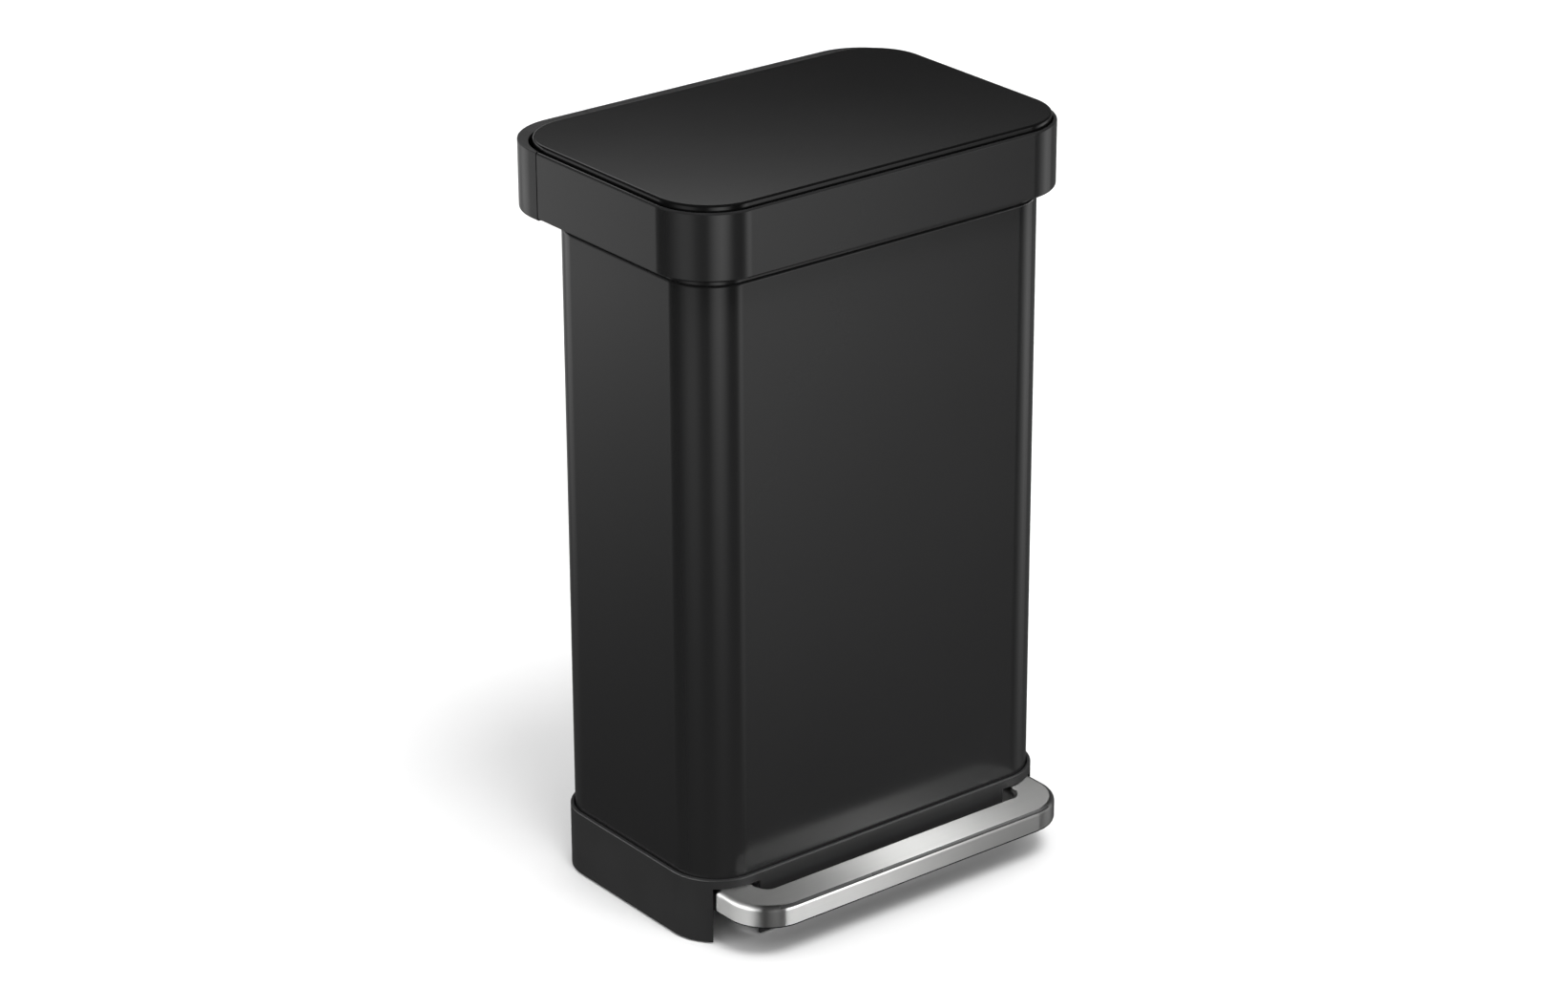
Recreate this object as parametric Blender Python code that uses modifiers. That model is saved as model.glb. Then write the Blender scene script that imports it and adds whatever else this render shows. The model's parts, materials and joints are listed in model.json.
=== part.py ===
"""A pedal trash can: steel body, plastic base and rim, brushed pedal, hinged lid and liner rim.

Metres, +Z up, front at -Y. The origin is on the floor, under the middle of the whole object.
The pedal turns on an axle under the body, its lever lifts a push rod at the back, and the rod
lifts the lid by a short lever on the lid hinge. The steel rim turns on the same hinge line.
"""
import math

import bmesh
import bpy

# ---------------------------------------------------------------- driving dimensions
HEIGHT = 0.650
GAP = 0.0004                    # clearance between pieces that touch or pass through each other
ARC_STEPS = 8                   # straight facets in each quarter-turn corner

# Rim: the widest part, a steel band in front and a plastic housing behind.
RIM_HALF_WIDTH = 0.198
RIM_FRONT = -0.1195
RIM_BACK = 0.1565
RIM_RADIUS = 0.054
RIM_LOW = 0.588
RIM_HIGH = 0.645
RIM_EDGE = 0.002                # rounding of the rim's top edge
BAND_WALL = 0.0012
BAND_LIP = 0.0031               # width of the band's turned-in top edge
BAND_END = 0.0925               # the steel band stops here and the housing starts
HOUSING_START = 0.0937
HOUSING_LOW = 0.5865
HOUSING_WALL = 0.0025
HOUSING_LIP = 0.0139            # width of the strip behind the lid
COVER_HALF_WIDTH = 0.106
COVER_EXTRA = 0.002             # how far the hinge cover stands ahead of the housing's strip

# Lid: a steel skin on a plastic tray, set into the rim.
LID_INSET = 0.0042
LID_BACK = 0.1413
LID_BACK_RADIUS = 0.049
LID_EDGE = 0.0025
LID_SKIN = 0.001
LID_FLANGE_LOW = 0.637
LID_REAR_LOW = 0.646            # underside of everything on the lid behind the hinge
LID_TRAY_HIGH = 0.6486
TRAY_RIB_LOW = 0.626
TRAY_RIB_INSET = 0.008          # the rib's outer face, inside the mouth
TRAY_RIB_WALL = 0.003

# Hinge line, shared by the lid and the rim.
HINGE_Y = 0.092
HINGE_Z = 0.6445
PIN_RADIUS = 0.0018
PIN_HOLE = 0.0022
KNUCKLE_RADIUS = 0.004
PIN_SPAN = (0.1665, 0.1875)
LID_KNUCKLE_SPAN = (0.1680, 0.1730)
BRACKET_SPAN = (0.1745, 0.1795)
RIM_KNUCKLE_SPAN = (0.1812, 0.1862)

# Body: a folded steel shell between the base and the collar.
BODY_HALF_WIDTH = 0.184
BODY_FRONT = -0.1045
BODY_BACK = 0.1065
BODY_RADIUS_FRONT = 0.042
BODY_RADIUS_BACK = 0.038
BODY_WALL = 0.0006
BODY_LOW = 0.0538
BODY_HIGH = 0.590

# Base moulding.
BASE_OUTSET = 0.004
BASE_WALL = 0.003
BASE_LOW = 0.0012
BASE_HIGH = 0.059
BASE_EDGE = 0.0012
DECK_LOW = 0.050
DECK_HIGH = 0.053
NOTCH_SPAN = (0.132, 0.1725)    # the two openings in front that the pedal's arms pass through
NOTCH_HIGH = 0.051
NOTCH_DEPTH = (-0.130, -0.075)
FOOT_RADIUS = 0.007
FOOT_HEIGHT = 0.004
FEET = {"front": (0.110, -0.088), "back": (0.150, 0.080)}

# Pedal.
PEDAL_HALF_WIDTH = 0.1705
PEDAL_FRONT = -0.1565
PEDAL_RADIUS = 0.040
PEDAL_LOW = 0.0315
PEDAL_HIGH = 0.0495
PEDAL_EDGE = 0.0024
PEDAL_SKIN = 0.001
SLOT_HALF_WIDTH = 0.137
SLOT_FRONT = -0.1215
SLOT_RADIUS = 0.010
PEDAL_COVER_BACK = -0.088
PEDAL_LINER_BACK = -0.062
AXLE_Y = -0.0462
AXLE_Z = 0.033
AXLE_RADIUS = 0.003
AXLE_HALF_LENGTH = 0.1675
BEARING_SPAN = (0.1560, 0.1645)
EAR_SPAN = (0.144, 0.154)
LEVER_LENGTH = 0.1214           # from the axle to the push rod
LEVER_DROP = 0.0132             # the lever's end hangs this far below the axle at rest

# Push rod and its guides.
ROD_Y = 0.0745
ROD_RADIUS = 0.003
ROD_LOW = 0.0294
ROD_HIGH = 0.6200
ROD_FOOT_RADIUS = 0.006
ROD_PASSAGE = 0.0075            # holes that the rod's foot travels through
ROD_HEAD_HIGH = 0.6233
GUIDE_HEIGHTS = {"lower": 0.100, "upper": 0.560}
LID_LEVER_ARM = 0.022
LID_LEVER_ANGLE = 50            # degrees below the horizontal, towards the front, at rest
LID_LEVER_NOSE = 0.003

# Soft-close damper beside the rod.
DAMPER_X = 0.026
DAMPER_Y = 0.088
DAMPER_RADIUS = 0.007
DAMPER_SPAN = (0.430, 0.540)
DAMPER_BORE = 0.0022
DAMPER_BORE_DEPTH = 0.075
PISTON_RADIUS = 0.0016
PISTON_SPAN = (0.3925, 0.470)
LINK_HEIGHT = 0.388
CLAMP_HEIGHT = 0.486
ROD_CHANNEL_HALF_WIDTH = 0.046
ROD_CHANNEL_WALL = 0.0012
ROD_CHANNEL_SPAN = (0.0580, 0.5880)

# Inner bucket and the collar and frame above it.
BUCKET_HALF_WIDTH = 0.174
BUCKET_FRONT = -0.096
BUCKET_BACK = 0.0615
BUCKET_RADIUS = 0.034
BUCKET_WALL = 0.0016
BUCKET_LOW = 0.0572
BUCKET_HIGH = 0.5885
BUCKET_TAPER = 0.93             # size of the bucket's floor against its mouth
BUCKET_FLANGE = 0.0028
BUCKET_CLEARANCE = 0.0017       # between the bucket's edge and the collar's opening
COLLAR_OUTSET = 0.006
COLLAR_LOW = 0.5905
COLLAR_SHELF = 0.593
COLLAR_HIGH = 0.604
COLLAR_WALL = 0.0035
COLLAR_WALL_END = 0.074
COLLAR_BACK_RADIUS = 0.010
FRAME_HIGH = 0.634
FRAME_DECK = 0.004
FRAME_LOW = 0.590
FRAME_WALL = 0.0037
MOUTH_HALF_WIDTH = 0.168
MOUTH_FRONT = -0.0885
MOUTH_BACK = 0.058
MOUTH_RADIUS = 0.030
MOUTH_WALL = 0.003
MOUTH_WALL_LOW = 0.604
FRAME_BAR_BACK = 0.075          # the frame's bar behind the mouth ends here

# ---------------------------------------------------------------- materials
COLOURS = {
    "black_steel": ((0.030, 0.030, 0.032), 0.34, 0.6),
    "black_plastic": ((0.018, 0.018, 0.019), 0.45, 0.0),
    "brushed_steel": ((0.62, 0.62, 0.61), 0.30, 1.0),
    "zinc_steel": ((0.55, 0.56, 0.58), 0.38, 1.0),
    "rubber": ((0.020, 0.020, 0.020), 0.85, 0.0),
    "grey_plastic": ((0.22, 0.23, 0.24), 0.50, 0.0),
}


def make_material(name):
    colour, roughness, metallic = COLOURS[name]
    material = bpy.data.materials.new(name)
    material.use_nodes = True
    shader = material.node_tree.nodes["Principled BSDF"]
    shader.inputs["Base Color"].default_value = (*colour, 1.0)
    shader.inputs["Roughness"].default_value = roughness
    shader.inputs["Metallic"].default_value = metallic
    material.diffuse_color = (*colour, 1.0)
    return material


# ---------------------------------------------------------------- outlines
def arc(x, y, radius, start, end, steps=ARC_STEPS):
    """Points of an arc from one angle to another, in degrees."""
    points = []
    for step in range(steps + 1):
        angle = math.radians(start + (end - start) * step / steps)
        points.append((x + radius * math.cos(angle), y + radius * math.sin(angle)))
    return points


def rounded_plan(half_width, front, back, front_radius, back_radius):
    """A rectangle with rounded corners, anticlockwise; a corner of radius 0 is one point."""
    corners = (
        (1, back, back_radius, 0),
        (-1, back, back_radius, 90),
        (-1, front, front_radius, 180),
        (1, front, front_radius, 270),
    )
    points = []
    for side, y, radius, start in corners:
        if radius == 0:
            points.append((side * half_width, y))
            continue
        inward = -radius if y == back else radius
        points += arc(side * (half_width - radius), y + inward, radius, start, start + 90)
    return points


def rectangle(x_low, x_high, y_low, y_high):
    return [(x_low, y_low), (x_high, y_low), (x_high, y_high), (x_low, y_high)]


def body_plan(outset):
    """The body's outline in plan, grown by outset."""
    return rounded_plan(BODY_HALF_WIDTH + outset, BODY_FRONT - outset, BODY_BACK + outset,
                        BODY_RADIUS_FRONT + outset, BODY_RADIUS_BACK + outset)


def mouth_plan(outset):
    """The liner frame's mouth in plan, grown by outset."""
    return rounded_plan(MOUTH_HALF_WIDTH + outset, MOUTH_FRONT - outset, MOUTH_BACK + outset,
                        MOUTH_RADIUS + outset, MOUTH_RADIUS + outset)


def rim_plan(inset, back):
    """The rim's front and sides in plan, moved in by inset, with square back corners."""
    return rounded_plan(RIM_HALF_WIDTH - inset, RIM_FRONT + inset, back, RIM_RADIUS - inset, 0)


def rim_back_plan(inset, front):
    """The rim's back and sides in plan, moved in by inset, with square front corners."""
    return rounded_plan(RIM_HALF_WIDTH - inset, front, RIM_BACK - inset, 0, RIM_RADIUS - inset)


def pedal_plan(inset, back):
    """The pedal's U in plan, moved in by inset, its arms ending at back."""
    half = PEDAL_HALF_WIDTH - inset
    slot = SLOT_HALF_WIDTH + inset
    front = PEDAL_FRONT + inset
    slot_front = SLOT_FRONT - inset
    outer_radius = PEDAL_RADIUS - inset
    slot_radius = SLOT_RADIUS + inset
    points = [(-half, back)]
    points += arc(-half + outer_radius, front + outer_radius, outer_radius, 180, 270)
    points += arc(half - outer_radius, front + outer_radius, outer_radius, 270, 360)
    points += [(half, back), (slot, back)]
    points += arc(slot - slot_radius, slot_front + slot_radius, slot_radius, 0, -90)
    points += arc(-slot + slot_radius, slot_front + slot_radius, slot_radius, -90, -180)
    points += [(-slot, back)]
    return points


# ---------------------------------------------------------------- solids
def link(obj, collection):
    for owner in list(obj.users_collection):
        owner.objects.unlink(obj)
    collection.objects.link(obj)
    return obj


def slab(name, outlines, low, high):
    """A flat outline, with any holes, extruded from low to high along its own Z."""
    curve = bpy.data.curves.new(name, "CURVE")
    curve.dimensions = "2D"
    curve.fill_mode = "BOTH"
    curve.extrude = (high - low) / 2
    for outline in outlines:
        spline = curve.splines.new("POLY")
        spline.points.add(len(outline) - 1)
        for point, (x, y) in zip(spline.points, outline):
            point.co = (x, y, 0, 1)
        spline.use_cyclic_u = True
    guide = bpy.data.objects.new(name, curve)
    guide.location.z = (low + high) / 2
    bpy.context.scene.collection.objects.link(guide)
    return to_mesh(guide)


def to_mesh(guide):
    """Turn a curve object into a closed mesh object with its place kept in the mesh."""
    bpy.context.view_layer.update()
    evaluated = guide.evaluated_get(bpy.context.evaluated_depsgraph_get())
    mesh = bpy.data.meshes.new_from_object(evaluated)
    mesh.transform(guide.matrix_world)
    name = guide.name
    bpy.data.objects.remove(guide)
    bm = bmesh.new()
    bm.from_mesh(mesh)
    bmesh.ops.remove_doubles(bm, verts=bm.verts, dist=1e-6)
    bmesh.ops.dissolve_limit(bm, angle_limit=math.radians(0.5), verts=bm.verts, edges=bm.edges)
    bm.to_mesh(mesh)
    bm.free()
    obj = bpy.data.objects.new(name, mesh)
    bpy.context.scene.collection.objects.link(obj)
    return obj


def side_slab(name, outline, x_low, x_high):
    """An outline of (y, z) points, extruded from x_low to x_high."""
    obj = slab(name, [outline], x_low, x_high)
    for vertex in obj.data.vertices:
        along, up, across = vertex.co
        vertex.co = (across, along, up)
    obj.data.update()
    return obj


def cylinder(name, radius, start, end, facets=24):
    """A round bar between two points on a line parallel to X or Z."""
    along_x = abs(end[0] - start[0]) > abs(end[2] - start[2])
    length = abs(end[0] - start[0]) if along_x else abs(end[2] - start[2])
    middle = [(a + b) / 2 for a, b in zip(start, end)]
    turn = (0, math.pi / 2, 0) if along_x else (0, 0, 0)
    bpy.ops.mesh.primitive_cylinder_add(vertices=facets, radius=radius, depth=length,
                                        location=middle, rotation=turn)
    obj = bpy.context.active_object
    obj.name = name
    obj.data.transform(obj.matrix_basis)
    obj.matrix_basis.identity()
    return obj


def combine(target, tool, operation):
    """Cut a tool from a target, or join it on, with the tool kept as a hidden guide."""
    modifier = target.modifiers.new(tool.name, "BOOLEAN")
    modifier.operation = operation
    modifier.solver = "EXACT"
    modifier.object = tool
    tool.hide_render = True
    tool.display_type = "WIRE"
    link(tool, CUTTERS)


def cut(target, *tools):
    for tool in tools:
        combine(target, tool, "DIFFERENCE")


def join(target, *tools):
    for tool in tools:
        combine(target, tool, "UNION")


def round_edges(obj, width, height, segments=3):
    """Round the outline's edges that lie at one height."""
    mesh = obj.data
    weights = mesh.attributes.new("bevel_weight_edge", "FLOAT", "EDGE")
    for edge in mesh.edges:
        level = all(abs(mesh.vertices[v].co.z - height) < 1e-5 for v in edge.vertices)
        weights.data[edge.index].value = 1.0 if level else 0.0
    bevel = obj.modifiers.new("rounded", "BEVEL")
    bevel.limit_method = "WEIGHT"
    bevel.width = width
    bevel.segments = segments


def remove_faces(obj, axis, place):
    """Open a slab by taking away its flat faces at one place along X, Y or Z."""
    index = "XYZ".index(axis)
    bm = bmesh.new()
    bm.from_mesh(obj.data)
    caps = [f for f in bm.faces if all(abs(v.co[index] - place) < 1e-5 for v in f.verts)]
    bmesh.ops.delete(bm, geom=caps, context="FACES")
    bm.to_mesh(obj.data)
    bm.free()


def thicken(obj, thickness):
    solidify = obj.modifiers.new("wall", "SOLIDIFY")
    solidify.thickness = thickness
    solidify.offset = -1
    solidify.use_even_offset = True


def finish(obj, material, axis=None):
    """Put a piece in the object's collection with its material, on its joint's axis."""
    link(obj, PARTS)
    obj.data.materials.clear()
    obj.data.materials.append(MATERIALS[material])
    obj.data.shade_smooth()
    obj.data.set_sharp_from_angle(angle=math.radians(30))
    if axis:
        obj.parent = axis
        obj.matrix_parent_inverse = axis.matrix_world.inverted()
    return obj


def screw(name, x, y, head_low, tip, axis=None):
    """A pan-head screw that points up from head_low to tip."""
    head_height = 0.0018
    obj = cylinder(name, 0.0032, (x, y, head_low), (x, y, head_low + head_height), 16)
    shank = cylinder(name + "_shank", 0.0015, (x, y, head_low + 0.001), (x, y, tip), 12)
    join(obj, shank)
    return finish(obj, "zinc_steel", axis)


def screw_hole(name, x, y, low, high):
    return cylinder(name, 0.0019, (x, y, low), (x, y, high), 12)


# ---------------------------------------------------------------- body and base
def make_body_shell():
    shell = slab("body_shell", [body_plan(0), body_plan(-BODY_WALL)], BODY_LOW, BODY_HIGH)
    finish(shell, "black_steel")


def base_screw_places():
    for side_name, side in SIDES:
        for end_name, y in (("front", -0.070), ("back", 0.055)):
            yield f"base_screw_{end_name}_{side_name}", side * 0.100, y


def bearing_screw_places():
    middle = sum(BEARING_SPAN) / 2
    for side_name, side in SIDES:
        for end_name, offset in (("front", -0.009), ("back", 0.009)):
            yield f"bearing_screw_{end_name}_{side_name}", side * middle, AXLE_Y + offset


def make_base():
    base = slab("base_moulding", [body_plan(BASE_OUTSET)], BASE_LOW, BASE_HIGH)
    round_edges(base, BASE_EDGE, BASE_HIGH, segments=2)
    inner = body_plan(BASE_OUTSET - BASE_WALL)
    cut(base, slab("base_underside", [inner], BASE_LOW - 0.01, DECK_LOW))
    cut(base, slab("base_recess", [inner], DECK_HIGH, BASE_HIGH + 0.01))
    for side_name, side in SIDES:
        x_low, x_high = sorted(side * x for x in NOTCH_SPAN)
        notch = [rectangle(x_low, x_high, *NOTCH_DEPTH)]
        cut(base, slab(f"notch_{side_name}", notch, BASE_LOW - 0.01, NOTCH_HIGH))
        for end_name, (x, y) in FEET.items():
            boss = cylinder(f"boss_{end_name}_{side_name}", FOOT_RADIUS,
                            (side * x, y, FOOT_HEIGHT + GAP), (side * x, y, DECK_LOW + 0.001))
            join(base, boss)
    cut(base, cylinder("base_rod_hole", ROD_PASSAGE, (0, ROD_Y, 0.04), (0, ROD_Y, 0.06)))
    for name, x, y in list(base_screw_places()) + list(bearing_screw_places()):
        cut(base, screw_hole(name + "_base_hole", x, y, DECK_LOW - 0.001, DECK_HIGH + 0.001))
    finish(base, "black_plastic")


def make_feet():
    for side_name, side in SIDES:
        for end_name, (x, y) in FEET.items():
            foot = cylinder(f"foot_{end_name}_{side_name}", FOOT_RADIUS,
                            (side * x, y, 0), (side * x, y, FOOT_HEIGHT))
            finish(foot, "rubber")


def make_body_floor():
    low, high = 0.0554, 0.0562
    floor = slab("body_floor", [body_plan(-BODY_WALL - GAP)], low, high)
    cut(floor, cylinder("floor_rod_hole", ROD_PASSAGE, (0, ROD_Y, 0.05), (0, ROD_Y, 0.06)))
    for name, x, y in base_screw_places():
        cut(floor, screw_hole(name + "_floor_hole", x, y, low - 0.001, high + 0.001))
        screw(name, x, y, DECK_LOW - GAP - 0.0018, high)
    finish(floor, "zinc_steel")


# ---------------------------------------------------------------- pedal
def make_bearings():
    low = 0.0245
    high = DECK_LOW - GAP
    for side_name, side in SIDES:
        x_low, x_high = sorted(side * x for x in BEARING_SPAN)
        plan = [rectangle(x_low, x_high, AXLE_Y - 0.014, AXLE_Y + 0.014)]
        bearing = slab(f"pedal_bearing_{side_name}", plan, low, high)
        hole = cylinder(f"bearing_hole_{side_name}", AXLE_RADIUS + GAP,
                        (x_low - 0.01, AXLE_Y, AXLE_Z), (x_high + 0.01, AXLE_Y, AXLE_Z))
        cut(bearing, hole)
        finish(bearing, "black_plastic")
    for name, x, y in bearing_screw_places():
        owner = PARTS.objects["pedal_bearing_" + name.rsplit("_", 1)[1]]
        cut(owner, screw_hole(name + "_bearing_hole", x, y, low - 0.001, high + 0.001))
        screw(name, x, y, low - GAP - 0.0018, DECK_HIGH - 0.0002)


def make_pedal_cover(axis):
    cover = slab("pedal_cover", [pedal_plan(0, PEDAL_COVER_BACK)], PEDAL_LOW, PEDAL_HIGH)
    remove_faces(cover, "Z", PEDAL_LOW)
    remove_faces(cover, "Y", PEDAL_COVER_BACK)
    round_edges(cover, PEDAL_EDGE, PEDAL_HIGH)
    thicken(cover, PEDAL_SKIN)
    finish(cover, "brushed_steel", axis)


def make_pedal_liner(axis):
    """The plastic carrier inside the cover, with a lip below it and ears on the axle."""
    inset = PEDAL_SKIN + GAP
    lip_low = PEDAL_LOW - 0.0012
    top = PEDAL_HIGH - PEDAL_EDGE
    liner = slab("pedal_liner", [pedal_plan(inset, PEDAL_LINER_BACK)], lip_low, top)
    lip = slab("liner_lip", [pedal_plan(0.0002, PEDAL_COVER_BACK)], lip_low, PEDAL_LOW - GAP)
    join(liner, lip)
    for side_name, side in SIDES:
        x_low, x_high = sorted(side * x for x in EAR_SPAN)
        ear_radius = 0.0075
        outline = [(PEDAL_LINER_BACK - 0.002, AXLE_Z - 0.002)]
        outline += arc(AXLE_Y, AXLE_Z, ear_radius, -100, 80)
        outline += [(PEDAL_LINER_BACK - 0.002, AXLE_Z + 0.010)]
        join(liner, side_slab(f"liner_ear_{side_name}", outline, x_low, x_high))
        hole = cylinder(f"liner_axle_hole_{side_name}", AXLE_RADIUS + GAP,
                        (x_low - 0.002, AXLE_Y, AXLE_Z), (x_high + 0.002, AXLE_Y, AXLE_Z))
        cut(liner, hole)
    finish(liner, "black_plastic", axis)


def make_axle(axis):
    axle = cylinder("pedal_axle", AXLE_RADIUS,
                    (-AXLE_HALF_LENGTH, AXLE_Y, AXLE_Z), (AXLE_HALF_LENGTH, AXLE_Y, AXLE_Z))
    finish(axle, "zinc_steel", axis)
    for side_name, side in SIDES:
        start = side * (BEARING_SPAN[1] + GAP)
        end = start + side * 0.0008
        clip = cylinder(f"axle_clip_{side_name}", 0.0055,
                        (start, AXLE_Y, AXLE_Z), (end, AXLE_Y, AXLE_Z), 20)
        hole = cylinder(f"clip_hole_{side_name}", AXLE_RADIUS + GAP,
                        (start - 0.01, AXLE_Y, AXLE_Z), (start + 0.01, AXLE_Y, AXLE_Z))
        cut(clip, hole)
        finish(clip, "zinc_steel", axis)


def make_rear_lever(axis):
    """A pressed steel Y that carries the pedal's motion back to the push rod."""
    hub_span = (0.039, 0.051)
    hub_radius = 0.0056
    tongue = 0.009
    half_thickness = 0.0015
    end = arc(0, LEVER_LENGTH, tongue, 0, 180)
    outer = [(-hub_span[1], 0.0035), (hub_span[1], 0.0035), (hub_span[1], 0.014),
             (tongue, 0.088)] + end + [(-tongue, 0.088), (-hub_span[1], 0.014)]
    middle_hole = [(-0.030, 0.024), (0.030, 0.024), (0, 0.072)]
    lever = slab("rear_lever", [outer, middle_hole], -half_thickness, half_thickness)
    for side_name, side in SIDES:
        hub = cylinder(f"lever_hub_{side_name}", hub_radius,
                       (side * hub_span[0], 0, 0), (side * hub_span[1], 0, 0))
        join(lever, hub)
    cut(lever, cylinder("lever_bore", AXLE_RADIUS + GAP, (-0.08, 0, 0), (0.08, 0, 0)))
    lever.location = (0, AXLE_Y, AXLE_Z)
    lever.rotation_euler.x = -math.asin(LEVER_DROP / LEVER_LENGTH)
    for modifier in lever.modifiers:
        modifier.object.location = lever.location
        modifier.object.rotation_euler = lever.rotation_euler
    finish(lever, "zinc_steel", axis)


# ---------------------------------------------------------------- push rod and damper
def make_push_rod(axis):
    rod = cylinder("push_rod", ROD_RADIUS, (0, ROD_Y, ROD_LOW), (0, ROD_Y, ROD_HIGH), 20)
    finish(rod, "zinc_steel", axis)
    foot = cylinder("rod_foot", ROD_FOOT_RADIUS,
                    (0, ROD_Y, ROD_LOW - GAP - 0.0058), (0, ROD_Y, ROD_LOW - GAP), 20)
    finish(foot, "black_plastic", axis)
    plan = rounded_plan(0.010, 0.066, 0.083, 0.003, 0.003)
    head = slab("rod_head", [plan], ROD_HIGH + GAP, ROD_HEAD_HIGH)
    finish(head, "black_plastic", axis)


def make_damper(axis):
    low, high = DAMPER_SPAN
    body = cylinder("damper_cylinder", DAMPER_RADIUS,
                    (DAMPER_X, DAMPER_Y, low), (DAMPER_X, DAMPER_Y, high))
    bore = cylinder("damper_bore", DAMPER_BORE, (DAMPER_X, DAMPER_Y, low - 0.01),
                    (DAMPER_X, DAMPER_Y, low + DAMPER_BORE_DEPTH), 16)
    cut(body, bore)
    finish(body, "zinc_steel")
    piston = cylinder("damper_piston", PISTON_RADIUS,
                      (DAMPER_X, DAMPER_Y, PISTON_SPAN[0]), (DAMPER_X, DAMPER_Y, PISTON_SPAN[1]), 16)
    finish(piston, "zinc_steel", axis)
    high = PISTON_SPAN[0] - GAP
    plan = [(-0.006, ROD_Y - 0.006), (0.006, ROD_Y - 0.006), (DAMPER_X + 0.005, DAMPER_Y - 0.005),
            (DAMPER_X + 0.005, DAMPER_Y + 0.005), (DAMPER_X - 0.005, DAMPER_Y + 0.005),
            (-0.006, ROD_Y + 0.006)]
    arm = slab("damper_link", [plan], LINK_HEIGHT, high)
    cut(arm, cylinder("link_hole", ROD_RADIUS + GAP, (0, ROD_Y, 0.38), (0, ROD_Y, 0.40), 20))
    finish(arm, "black_plastic", axis)


def make_rod_guides():
    for name, height in GUIDE_HEIGHTS.items():
        plan = [rectangle(-0.010, 0.010, ROD_Y - 0.0065, BODY_BACK - BODY_WALL - GAP)]
        guide = slab(f"rod_guide_{name}", plan, height, height + 0.012)
        hole = cylinder(f"guide_hole_{name}", ROD_RADIUS + GAP,
                        (0, ROD_Y, height - 0.01), (0, ROD_Y, height + 0.03), 20)
        cut(guide, hole)
        finish(guide, "black_plastic")


def make_damper_clamp():
    """A block on the back wall that holds the damper's cylinder."""
    low = CLAMP_HEIGHT
    plan = [rectangle(DAMPER_X - 0.011, DAMPER_X + 0.011, DAMPER_Y - 0.010,
                      BODY_BACK - BODY_WALL - GAP)]
    clamp = slab("damper_clamp", plan, low, low + 0.014)
    hole = cylinder("clamp_hole", DAMPER_RADIUS + GAP,
                    (DAMPER_X, DAMPER_Y, low - 0.01), (DAMPER_X, DAMPER_Y, low + 0.03))
    cut(clamp, hole)
    finish(clamp, "black_plastic")


def make_rod_channel():
    """A plastic U that keeps the bucket off the rod and the damper."""
    half = ROD_CHANNEL_HALF_WIDTH
    sheet = ROD_CHANNEL_WALL
    front = BUCKET_BACK + BUCKET_FLANGE + 0.0012
    back = BODY_BACK - BODY_WALL - GAP
    outline = [(-half, front), (half, front), (half, back), (half - sheet, back),
               (half - sheet, front + sheet), (-half + sheet, front + sheet),
               (-half + sheet, back), (-half, back)]
    channel = slab("rod_channel", [outline], *ROD_CHANNEL_SPAN)
    finish(channel, "black_plastic")


# ---------------------------------------------------------------- bucket, collar and housing
def make_bucket():
    """A tapered tub with a turned-out edge, open at the top."""
    mouth = rounded_plan(BUCKET_HALF_WIDTH, BUCKET_FRONT, BUCKET_BACK, BUCKET_RADIUS, BUCKET_RADIUS)
    bucket = slab("inner_bucket", [mouth], BUCKET_LOW, BUCKET_HIGH)
    remove_faces(bucket, "Z", BUCKET_HIGH)
    bm = bmesh.new()
    bm.from_mesh(bucket.data)
    middle_y = (BUCKET_FRONT + BUCKET_BACK) / 2
    for vertex in bm.verts:
        if vertex.co.z < BUCKET_LOW + 0.001:
            vertex.co.x *= BUCKET_TAPER
            vertex.co.y = middle_y + (vertex.co.y - middle_y) * BUCKET_TAPER
    edge_ring = [edge for edge in bm.edges if edge.is_boundary]
    grown = bmesh.ops.extrude_edge_only(bm, edges=edge_ring)["geom"]
    for vertex in (item for item in grown if isinstance(item, bmesh.types.BMVert)):
        vertex.co.x += math.copysign(BUCKET_FLANGE, vertex.co.x)
        vertex.co.y += math.copysign(BUCKET_FLANGE, vertex.co.y - middle_y)
    bm.to_mesh(bucket.data)
    bm.free()
    thicken(bucket, BUCKET_WALL)
    finish(bucket, "grey_plastic")


def make_collar():
    """The plastic ring on the body's top edge, with a shelf behind for the hinge brackets."""
    collar = slab("top_collar", [body_plan(COLLAR_OUTSET)], COLLAR_LOW, COLLAR_HIGH)
    cut(collar, slab("collar_inside", [body_plan(COLLAR_OUTSET - COLLAR_WALL)],
                     COLLAR_SHELF, COLLAR_HIGH + 0.01))
    cut(collar, slab("collar_wall_end", [rectangle(-0.3, 0.3, COLLAR_WALL_END, 0.3)],
                     COLLAR_SHELF, COLLAR_HIGH + 0.02))
    outset = BUCKET_FLANGE + BUCKET_CLEARANCE
    opening = rounded_plan(BUCKET_HALF_WIDTH + outset, BUCKET_FRONT - outset, BUCKET_BACK + outset,
                           BUCKET_RADIUS, COLLAR_BACK_RADIUS)
    cut(collar, slab("collar_opening", [opening], COLLAR_LOW - 0.01, COLLAR_HIGH + 0.01))
    cut(collar, cylinder("collar_rod_hole", ROD_RADIUS + 0.0015,
                         (0, ROD_Y, 0.58), (0, ROD_Y, 0.60)))
    finish(collar, "black_plastic")


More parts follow.
